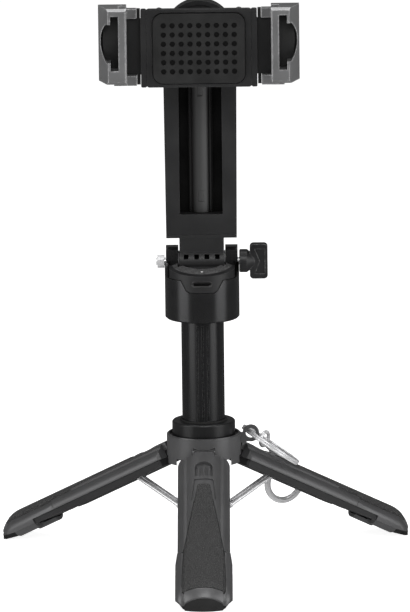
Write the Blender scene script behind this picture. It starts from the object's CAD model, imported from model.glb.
import math
import bpy
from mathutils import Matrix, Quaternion, Vector


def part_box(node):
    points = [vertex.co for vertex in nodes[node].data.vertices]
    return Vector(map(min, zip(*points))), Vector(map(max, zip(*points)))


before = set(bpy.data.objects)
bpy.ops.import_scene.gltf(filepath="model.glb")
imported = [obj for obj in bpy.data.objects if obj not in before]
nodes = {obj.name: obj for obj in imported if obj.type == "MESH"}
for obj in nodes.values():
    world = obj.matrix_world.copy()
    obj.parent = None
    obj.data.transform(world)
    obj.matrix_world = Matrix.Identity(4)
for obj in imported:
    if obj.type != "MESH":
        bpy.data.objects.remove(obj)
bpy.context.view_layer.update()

# ---------------------------------------------------------------------------
# Leg hub. A die-cast ring that carries the three leg pins, with a rim, three
# skirt tabs and the strap lug, sprayed with a satin dark grey metallic coat.
# ---------------------------------------------------------------------------
MM = 0.001


def add_node(tree, kind, **sockets):
    """A node with its inputs set by name, an underscore standing for a space."""
    node = tree.nodes.new(kind)
    for name, value in sockets.items():
        node.inputs[name.replace("_", " ")].default_value = value
    return node


def blend_colours(tree, factor, low, high):
    mix = tree.nodes.new("ShaderNodeMix")
    mix.data_type = "RGBA"
    mix.inputs["A"].default_value = (*low, 1)
    mix.inputs["B"].default_value = (*high, 1)
    tree.links.new(factor, mix.inputs["Factor"])
    return mix


def remap(tree, value, low, high, start=0.0, end=1.0):
    node = add_node(tree, "ShaderNodeMapRange", From_Min=start, From_Max=end, To_Min=low, To_Max=high)
    tree.links.new(value, node.inputs["Value"])
    return node.outputs["Result"]


def effect_group(name, inputs, outputs):
    """An empty shader node group with float inputs (name: default) and float outputs."""
    group = bpy.data.node_groups.new(name, "ShaderNodeTree")
    for socket, value in inputs.items():
        made = group.interface.new_socket(socket, in_out="INPUT", socket_type="NodeSocketFloat")
        made.default_value = value
    for socket in outputs:
        group.interface.new_socket(socket, in_out="OUTPUT", socket_type="NodeSocketFloat")
    return group, group.nodes.new("NodeGroupInput"), group.nodes.new("NodeGroupOutput")


def grain_group():
    """Fine moulding or spray grain over broad, faint clouds. Sizes are in grains per metre."""
    group, given, out = effect_group(
        "fine_grain", {"Grain": 5000.0, "Clouds": 60.0, "Stretch": 1.0}, ["Height", "Tone"])
    place = group.nodes.new("ShaderNodeTexCoord")
    stretch = group.nodes.new("ShaderNodeCombineXYZ")
    stretch.inputs["X"].default_value = stretch.inputs["Y"].default_value = 1
    group.links.new(given.outputs["Stretch"], stretch.inputs["Z"])
    pull = group.nodes.new("ShaderNodeVectorMath")
    pull.operation = "MULTIPLY"
    group.links.new(place.outputs["Object"], pull.inputs[0])
    group.links.new(stretch.outputs["Vector"], pull.inputs[1])
    fine = add_node(group, "ShaderNodeTexNoise", Detail=3.0, Roughness=0.6)
    broad = add_node(group, "ShaderNodeTexNoise", Detail=4.0, Roughness=0.55)
    for noise, size in ((fine, "Grain"), (broad, "Clouds")):
        group.links.new(pull.outputs["Vector"], noise.inputs["Vector"])
        group.links.new(given.outputs[size], noise.inputs["Scale"])
    group.links.new(fine.outputs["Fac"], out.inputs["Height"])
    group.links.new(broad.outputs["Fac"], out.inputs["Tone"])
    return group


def wear_group():
    """A broken mask that is 1 on worn corners, from how far a rounded normal leans off the true one."""
    group, given, out = effect_group("edge_wear", {"Width": 0.0004, "Breakup": 900.0}, ["Mask"])
    rounded = group.nodes.new("ShaderNodeBevel")
    rounded.samples = 4
    true = group.nodes.new("ShaderNodeNewGeometry")
    lean = group.nodes.new("ShaderNodeVectorMath")
    lean.operation = "DOT_PRODUCT"
    group.links.new(given.outputs["Width"], rounded.inputs["Radius"])
    group.links.new(rounded.outputs["Normal"], lean.inputs[0])
    group.links.new(true.outputs["Normal"], lean.inputs[1])
    corner = remap(group, lean.outputs["Value"], 1.0, 0.0, start=0.75, end=0.985)
    place = group.nodes.new("ShaderNodeTexCoord")
    patches = add_node(group, "ShaderNodeTexNoise", Detail=4.0)
    group.links.new(place.outputs["Object"], patches.inputs["Vector"])
    group.links.new(given.outputs["Breakup"], patches.inputs["Scale"])
    broken = remap(group, patches.outputs["Fac"], 0.15, 1.0, start=0.4, end=0.62)
    both = group.nodes.new("ShaderNodeMath")
    both.operation = "MULTIPLY"
    group.links.new(corner, both.inputs[0])
    group.links.new(broken, both.inputs[1])
    group.links.new(both.outputs["Value"], out.inputs["Mask"])
    return group


fine_grain = grain_group()
edge_wear = wear_group()


def place_group(tree, group, **sockets):
    node = tree.nodes.new("ShaderNodeGroup")
    node.node_tree = group
    for name, value in sockets.items():
        node.inputs[name].default_value = value
    return node


def finish(name, dark, light, rough, metallic=0.0, coat=0.0, grain=5000.0, clouds=60.0,
           stretch=1.0, depth=0.02, worn=None, wear_width=0.0004, shine=0.5):
    """A moulded, sprayed or drawn surface: two tones in clouds, grain in the gloss and relief, worn corners."""
    material = bpy.data.materials.new(name)
    material.use_nodes = True
    tree = material.node_tree
    shader = tree.nodes["Principled BSDF"]
    texture = place_group(tree, fine_grain, Grain=grain, Clouds=clouds, Stretch=stretch)
    clouded = remap(tree, texture.outputs["Tone"], 0.0, 1.0, start=0.35, end=0.65)
    colour = blend_colours(tree, clouded, dark, light).outputs["Result"]
    if worn:
        wear = place_group(tree, edge_wear, Width=wear_width)
        over = blend_colours(tree, wear.outputs["Mask"], dark, worn)
        tree.links.new(colour, over.inputs["A"])
        colour = over.outputs["Result"]
    tree.links.new(colour, shader.inputs["Base Color"])
    tree.links.new(remap(tree, texture.outputs["Tone"], *rough, start=0.3, end=0.7),
                   shader.inputs["Roughness"])
    relief = add_node(tree, "ShaderNodeBump", Strength=0.6, Distance=depth * MM)
    tree.links.new(texture.outputs["Height"], relief.inputs["Height"])
    tree.links.new(relief.outputs["Normal"], shader.inputs["Normal"])
    shader.inputs["Metallic"].default_value = metallic
    shader.inputs["Coat Weight"].default_value = coat
    shader.inputs["Specular IOR Level"].default_value = shine
    return material


def carry(names, material, edge=0.25, corner=32):
    """CAD nodes that stay: flat facets joined, corners rounded by edge (mm), and a material put on."""
    for name in names:
        node = nodes[name]
        node.data.materials.clear()
        node.data.materials.append(material)
        for face in node.data.polygons:
            face.use_smooth = True
        weld = node.modifiers.new("weld", "WELD")
        weld.merge_threshold = 2e-6
        flat = node.modifiers.new("flat", "DECIMATE")
        flat.decimate_type = "DISSOLVE"
        flat.angle_limit = math.radians(0.6)
        if edge:
            rounding = node.modifiers.new("rounding", "BEVEL")
            rounding.width = edge * MM
            rounding.segments = 3
            rounding.limit_method = "ANGLE"
            rounding.angle_limit = math.radians(corner)
            rounding.use_clamp_overlap = True
            rounding.harden_normals = True
        even = node.modifiers.new("even", "WEIGHTED_NORMAL")
        even.keep_sharp = True


grey_coat = finish("satin_grey_coat", (0.096, 0.096, 0.0975), (0.112, 0.112, 0.114), (0.32, 0.4),
                   metallic=0.5, grain=9000, clouds=45, depth=0.012, worn=(0.16, 0.16, 0.16), shine=0.4)
carry(["leg_hub"], grey_coat, edge=0.3)

# ---------------------------------------------------------------------------
# Leg pins. Plain ground steel pins pressed through the hub, one for each leg.
# ---------------------------------------------------------------------------
bare_steel = finish("bare_steel", (0.42, 0.42, 0.43), (0.56, 0.56, 0.57), (0.24, 0.36),
                    metallic=1.0, grain=7000, clouds=200, depth=0.006)
carry(["leg_pins"], bare_steel, edge=0.2)

# ---------------------------------------------------------------------------
# Leg shells. Long channel mouldings that close into the handle, coated like the
# hub, with a thumb pocket near the pin and a shaped bed for the grained inlay.
# ---------------------------------------------------------------------------
LEGS = ("front", "left", "right")
carry([f"{side}_leg_shell" for side in LEGS], grey_coat, edge=0.35)

# ---------------------------------------------------------------------------
# Inlays. Soft strips with a leather grain, moulded and glued into the shells.
# ---------------------------------------------------------------------------


def grained_rubber():
    material = bpy.data.materials.new("leather_grained_rubber")
    material.use_nodes = True
    tree = material.node_tree
    shader = tree.nodes["Principled BSDF"]
    place = tree.nodes.new("ShaderNodeTexCoord")
    cells = add_node(tree, "ShaderNodeTexVoronoi", Scale=1350.0, Randomness=1.0)
    cells.feature = "DISTANCE_TO_EDGE"
    small = add_node(tree, "ShaderNodeTexVoronoi", Scale=2900.0, Randomness=1.0)
    small.feature = "DISTANCE_TO_EDGE"
    for texture in (cells, small):
        tree.links.new(place.outputs["Object"], texture.inputs["Vector"])
    pebbles = remap(tree, cells.outputs["Distance"], 0.0, 1.0, start=0.0, end=0.28)
    pores = remap(tree, small.outputs["Distance"], 0.55, 1.0, start=0.0, end=0.25)
    height = tree.nodes.new("ShaderNodeMath")
    height.operation = "MULTIPLY"
    tree.links.new(pebbles, height.inputs[0])
    tree.links.new(pores, height.inputs[1])
    colour = blend_colours(tree, height.outputs["Value"], (0.022, 0.022, 0.022), (0.105, 0.105, 0.105))
    tree.links.new(colour.outputs["Result"], shader.inputs["Base Color"])
    tree.links.new(remap(tree, height.outputs["Value"], 0.75, 0.5), shader.inputs["Roughness"])
    relief = add_node(tree, "ShaderNodeBump", Strength=1.0, Distance=0.3 * MM)
    tree.links.new(height.outputs["Value"], relief.inputs["Height"])
    tree.links.new(relief.outputs["Normal"], shader.inputs["Normal"])
    return material


carry([f"{side}_leg_inlay" for side in LEGS], grained_rubber(), edge=0.3)

# ---------------------------------------------------------------------------
# Rails. Black inner mouldings with the knuckle and the cheeks for the stay wires.
# ---------------------------------------------------------------------------
black_moulding = finish("black_moulding", (0.013, 0.013, 0.0135), (0.018, 0.018, 0.0185), (0.38, 0.5),
                        grain=6500, clouds=50, depth=0.025, worn=(0.06, 0.06, 0.06), shine=0.4)
carry([f"{side}_leg_rail" for side in LEGS], black_moulding, edge=0.2)

# ---------------------------------------------------------------------------
# Foot pads. Dense black rubber plugs under the tips, with a slanted sole.
# ---------------------------------------------------------------------------
foot_rubber = finish("foot_rubber", (0.012, 0.012, 0.012), (0.018, 0.018, 0.018), (0.62, 0.78),
                     grain=4000, clouds=120, depth=0.04, shine=0.25)
carry([f"{side}_leg_foot" for side in LEGS], foot_rubber, edge=0.6)

# ---------------------------------------------------------------------------
# Stay wires and spider. Bent plated wires and the small plate that joins them.
# ---------------------------------------------------------------------------
bright_plate = finish("bright_plate", (0.66, 0.66, 0.67), (0.78, 0.78, 0.79), (0.12, 0.2),
                      metallic=0.45, grain=2500, clouds=300, depth=0.004)
carry([f"{side}_stay" for side in LEGS], bright_plate, edge=0)
carry(["stay_spider"], bare_steel, edge=0.2)

# ---------------------------------------------------------------------------
# Base ring and seal. A black turned collar on the hub and the lip seal in it.
# ---------------------------------------------------------------------------
satin_black = finish("satin_black_ring", (0.009, 0.009, 0.0095), (0.013, 0.013, 0.0135), (0.26, 0.36),
                     metallic=0.1, shine=0.5, grain=8000, clouds=80, depth=0.01, worn=(0.12, 0.12, 0.12))
carry(["base_ring"], satin_black, edge=0.2)
carry(["tube_seal"], foot_rubber, edge=0.2)

# ---------------------------------------------------------------------------
# Tubes. Five drawn aluminium tubes: the outer one anodised black, with three
# fine grooves down its front, and the inner ones left bright and brushed.
# ---------------------------------------------------------------------------
black_tube = finish("black_anodised_tube", (0.006, 0.006, 0.0065), (0.01, 0.01, 0.0105), (0.2, 0.28),
                    grain=5000, clouds=900, stretch=0.02, depth=0.006, worn=(0.1, 0.1, 0.1),
                    wear_width=0.0003, shine=0.5)
bright_tube = finish("bright_tube", (0.42, 0.42, 0.43), (0.55, 0.55, 0.56), (0.22, 0.34),
                     metallic=1.0, grain=5000, clouds=900, stretch=0.02, depth=0.006)
carry(["tube_1"], black_tube, edge=0.1)
carry([f"tube_{k}" for k in (2, 3, 4, 5)], bright_tube, edge=0.1)

# ---------------------------------------------------------------------------
# Head collar and core. The coated shell round the top of the tubes, with the
# hinge ears and the cradle of the remote, on a black moulded core.
# ---------------------------------------------------------------------------
collar_coat = finish("satin_dark_coat", (0.042, 0.042, 0.043), (0.052, 0.052, 0.0535), (0.22, 0.29),
                     metallic=0.8, grain=9000, clouds=45, depth=0.01, worn=(0.14, 0.14, 0.14), shine=0.5)


POST_LOW, POST_HIGH = 125.1 * MM, 131.8 * MM
POST_FACE = 2.25 * MM  # how far in front of the stick's axis the black faces start


def mask_above(tree, axis, edge, soft=0.0001):
    """1 where the object's own coordinate on one axis is above edge (metres)."""
    place = tree.nodes.new("ShaderNodeTexCoord")
    split = tree.nodes.new("ShaderNodeSeparateXYZ")
    tree.links.new(place.outputs["Object"], split.inputs["Vector"])
    return remap(tree, split.outputs[axis], 0.0, 1.0, start=edge - soft, end=edge + soft)


def blacken_posts(material):
    """The posts beside the remote's horns are left black when the collar is sprayed."""
    tree = material.node_tree
    shader = tree.nodes["Principled BSDF"]
    both = tree.nodes.new("ShaderNodeMath")
    both.operation = "MULTIPLY"
    band = tree.nodes.new("ShaderNodeMath")
    band.operation = "MULTIPLY"
    tree.links.new(mask_above(tree, "Z", POST_LOW), band.inputs[0])
    tree.links.new(remap(tree, mask_above(tree, "Z", POST_HIGH), 1.0, 0.0), band.inputs[1])
    tree.links.new(band.outputs["Value"], both.inputs[0])
    axis_y = (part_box("tube_1")[0].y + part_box("tube_1")[1].y) / 2
    behind = mask_above(tree, "Y", axis_y - POST_FACE)
    tree.links.new(remap(tree, behind, 1.0, 0.0), both.inputs[1])
    sprayed = shader.inputs["Base Color"].links[0].from_socket
    over = blend_colours(tree, both.outputs["Value"], (0.02, 0.02, 0.02), (0.004, 0.004, 0.004))
    tree.links.new(sprayed, over.inputs["A"])
    tree.links.new(over.outputs["Result"], shader.inputs["Base Color"])


blacken_posts(collar_coat)
carry(["head_collar"], collar_coat, edge=0.35)
carry(["head_core"], black_moulding, edge=0.2)

# ---------------------------------------------------------------------------
# Hinge. A plated bolt and nut with thin washers, tightened by a black wing knob.
# ---------------------------------------------------------------------------
carry(["hinge_bolt", "hinge_nut"], bright_plate, edge=0.15)
carry(["hinge_washers"], bare_steel, edge=0)
knob_black = finish("knob_black", (0.01, 0.01, 0.0105), (0.016, 0.016, 0.0165), (0.3, 0.42), grain=6500,
                    clouds=80, depth=0.02, worn=(0.17, 0.17, 0.17), wear_width=0.0006, shine=0.35)
carry(["wing_knob"], knob_black, edge=0.35)

# ---------------------------------------------------------------------------
# Remote. A half-round case with a speckled sloping ring round a polished key,
# a pale lamp and a charging socket, that pulls out of the collar.
# ---------------------------------------------------------------------------
gloss_black = finish("polished_black", (0.01, 0.01, 0.011), (0.014, 0.014, 0.015), (0.05, 0.1),
                     coat=0.5, grain=900, clouds=90, depth=0.003)
speckled = finish("speckled_ring", (0.008, 0.008, 0.008), (0.13, 0.13, 0.13), (0.4, 0.6),
                  grain=2600, clouds=2600, depth=0.08)
lamp_white = finish("lamp_white", (0.8, 0.8, 0.8), (0.88, 0.88, 0.87), (0.15, 0.25), clouds=400)
board_green = finish("board_green", (0.015, 0.08, 0.03), (0.02, 0.12, 0.05), (0.25, 0.35), clouds=500)
carry(["remote_case"], black_moulding, edge=0.2)
carry(["remote_top_ring"], speckled, edge=0.15)
carry(["remote_button"], gloss_black, edge=0.15)
port_steel = finish("port_steel", (0.1, 0.1, 0.1), (0.15, 0.15, 0.15), (0.3, 0.42), metallic=0.9, clouds=500)
carry(["remote_port"], port_steel, edge=0)
carry(["remote_board"], board_green, edge=0)
carry(["remote_light"], lamp_white, edge=0)

# ---------------------------------------------------------------------------
# Arm. A black moulded frame with a long window, the polished channel inside
# it, a back cover held by four screws, and a disc at the top for the clamp.
# ---------------------------------------------------------------------------
carry(["arm_frame"], black_moulding, edge=0.35)
carry(["arm_back_cover", "arm_end_cap"], black_moulding, edge=0.15)


def channel_black():
    """Near-black moulding whose middle bar is polished and catches the light towards one side."""
    material = finish("channel_black", (0.003, 0.003, 0.003), (0.006, 0.006, 0.006), (0.3, 0.4),
                      grain=6500, clouds=60, depth=0.01, shine=0.06)
    tree = material.node_tree
    shader = tree.nodes["Principled BSDF"]
    place = tree.nodes.new("ShaderNodeTexCoord")
    split = tree.nodes.new("ShaderNodeSeparateXYZ")
    tree.links.new(place.outputs["Object"], split.inputs["Vector"])
    half = 5.5
    across = remap(tree, split.outputs["X"], 0.0, 1.0, start=-half * MM, end=half * MM)
    bands = tree.nodes.new("ShaderNodeValToRGB")
    tree.links.new(across, bands.inputs["Fac"])
    stops = [(-4.9, 0.004), (-4.5, 0.03), (-4.1, 0.012), (-3.2, 0.03), (0.0, 0.045), (2.4, 0.085),
             (3.2, 0.03), (3.6, 0.006), (4.1, 0.04), (4.7, 0.004)]
    ramp = bands.color_ramp.elements
    while len(ramp) < len(stops):
        ramp.new(0.5)
    # each stop is a place across the bar in mm and its tone
    for stop, (x, tone) in zip(ramp, stops):
        stop.position = (x + half) / (2 * half)
        stop.color = (tone, tone, tone, 1)
    inside = tree.nodes.new("ShaderNodeMath")
    inside.operation = "MULTIPLY"
    tree.links.new(mask_above(tree, "X", -5.2 * MM), inside.inputs[0])
    tree.links.new(remap(tree, mask_above(tree, "X", 5.0 * MM), 1.0, 0.0), inside.inputs[1])
    moulded = shader.inputs["Base Color"].links[0].from_socket
    over = tree.nodes.new("ShaderNodeMix")
    over.data_type = "RGBA"
    tree.links.new(inside.outputs["Value"], over.inputs["Factor"])
    tree.links.new(moulded, over.inputs["A"])
    tree.links.new(bands.outputs["Color"], over.inputs["B"])
    tree.links.new(over.outputs["Result"], shader.inputs["Base Color"])
    return material


carry(["arm_channel_liner"], channel_black(), edge=0.2)
carry(["arm_screws"], bare_steel, edge=0.1)

# ---------------------------------------------------------------------------
# Phone clamp. Front and rear mouldings, the dimpled rubber pad, the pivot screw,
# and inside them the pinion, its spring and the toothed sliders.
# ---------------------------------------------------------------------------
pad_rubber = finish("pad_rubber", (0.012, 0.012, 0.012), (0.018, 0.018, 0.018), (0.5, 0.62),
                    grain=5000, clouds=90, depth=0.02, shine=0.25)
white_gear = finish("white_gear", (0.66, 0.65, 0.6), (0.76, 0.75, 0.7), (0.35, 0.45), clouds=200)
carry(["holder_front_cover", "holder_rear_cover"], black_moulding, edge=0.3)


def darken_dimples(material):
    """The floors of the dimples stay dull and dark, the face of the pad is polished by use."""
    tree = material.node_tree
    shader = tree.nodes["Principled BSDF"]
    floor_mask = mask_above(tree, "Y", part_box("holder_grip_pad")[0].y + 0.12 * MM, soft=0.00006)
    face = shader.inputs["Base Color"].links[0].from_socket
    over = blend_colours(tree, floor_mask, (0.014, 0.014, 0.014), (0.0015, 0.0015, 0.0015))
    tree.links.new(face, over.inputs["A"])
    tree.links.new(over.outputs["Result"], shader.inputs["Base Color"])


dimpled_rubber = finish("dimpled_rubber", (0.013, 0.013, 0.013), (0.019, 0.019, 0.019), (0.45, 0.58),
                        grain=5000, clouds=90, depth=0.02, shine=0.22)
darken_dimples(dimpled_rubber)
carry(["holder_grip_pad"], dimpled_rubber, edge=0.2)
carry(["holder_pivot", "holder_screws", "jaw_spring"], bare_steel, edge=0.1)
carry(["jaw_pinion"], white_gear, edge=0.1)
carry(["left_jaw_rail", "right_jaw_rail"], black_moulding, edge=0.15)

# ---------------------------------------------------------------------------
# Jaws. Silver-grey lacquered blocks with a D-shaped window and a rubber lining.
# ---------------------------------------------------------------------------
jaw_lacquer = finish("jaw_lacquer", (0.21, 0.21, 0.2125), (0.25, 0.25, 0.2525), (0.3, 0.4), metallic=0.65,
                     grain=9000, clouds=60, depth=0.008, worn=(0.75, 0.75, 0.76), wear_width=0.0012)
carry(["left_jaw_shell", "right_jaw_shell"], jaw_lacquer, edge=1.1)
carry(["left_jaw_pad", "right_jaw_pad"], pad_rubber, edge=0.2)

# ---------------------------------------------------------------------------
# Key chain. Plated split ring, swivel, spring clip and end ring on the hub's lug.
# ---------------------------------------------------------------------------
carry(["key_split_ring", "key_swivel", "key_big_ring"], bright_plate, edge=0)
carry(["key_hook", "key_gate"], bright_plate, edge=0.5)

# ---------------------------------------------------------------------------
# Floor, lights and camera. A pale sheet in a dim white room with four soft
# boxes. Mirror-like faces see the room and the boxes, but not the sheet.
# ---------------------------------------------------------------------------
FLOOR_SIZE = 30.0
bpy.ops.mesh.primitive_plane_add(size=FLOOR_SIZE, location=(0, 0, -0.0002))
floor = bpy.context.object
floor.name = "studio_floor"
floor_paper = finish("floor_paper", (0.86, 0.86, 0.86), (0.88, 0.88, 0.88), (0.8, 0.9), grain=400, clouds=3)
floor_paper.node_tree.nodes["Principled BSDF"].inputs["Emission Color"].default_value = (1, 1, 1, 1)
floor_paper.node_tree.nodes["Principled BSDF"].inputs["Emission Strength"].default_value = 0.9
floor.data.materials.append(floor_paper)
floor.visible_glossy = False

low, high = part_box("tube_1")
stick = (low + high) / 2
world = bpy.data.worlds.new("white_room")
world.use_nodes = True
world.node_tree.nodes["Background"].inputs["Color"].default_value = (1, 1, 1, 1)
world.node_tree.nodes["Background"].inputs["Strength"].default_value = 0.1
bpy.context.scene.world = world


def soft_box(name, place, size, power, aim):
    light = bpy.data.lights.new(name, "AREA")
    light.shape = "RECTANGLE"
    light.size, light.size_y = size
    light.energy = power
    box = bpy.data.objects.new(name, light)
    box.location = place
    box.rotation_mode = "QUATERNION"
    box.rotation_quaternion = (Vector(place) - Vector(aim)).to_track_quat("Z", "Y")
    bpy.context.scene.collection.objects.link(box)


middle = (stick.x, stick.y, 0.12)
soft_box("box_left", (-0.8, -0.45, 0.25), (0.6, 0.7), 3.4, middle)
soft_box("box_right", (0.8, -0.45, 0.25), (0.6, 0.7), 3.4, middle)
soft_box("box_top", (0.0, 0.0, 0.95), (0.8, 0.6), 4.2, middle)
soft_box("box_front", (0.1, -1.1, 0.95), (0.7, 0.5), 6.0, middle)

# The lens is very long, so the view is close to flat.
VIEW_TURN = math.radians(0.44)
VIEW_DOWN = math.radians(11.22)
VIEW_TILT = math.radians(-0.645)
VIEW_DISTANCE = 3.442
FOCUS_OFFSET = 8000 / 612
camera_data = bpy.data.cameras.new("camera")
camera_data.sensor_width = 36.0
camera_data.lens = camera_data.sensor_width * FOCUS_OFFSET
camera_data.clip_start, camera_data.clip_end = 0.1, 60.0
camera = bpy.data.objects.new("camera", camera_data)
bpy.context.scene.collection.objects.link(camera)
back = Vector((math.sin(VIEW_TURN) * math.cos(VIEW_DOWN),
               -math.cos(VIEW_TURN) * math.cos(VIEW_DOWN), math.sin(VIEW_DOWN)))
aim = Vector((stick.x + 1.137 * MM, stick.y, 111.4 * MM))
camera.location = aim + back * VIEW_DISTANCE
camera.rotation_mode = "QUATERNION"
camera.rotation_quaternion = back.to_track_quat("Z", "Y") @ Quaternion((0, 0, 1), VIEW_TILT)
bpy.context.scene.camera = camera
bpy.context.scene.view_settings.view_transform = "Standard"
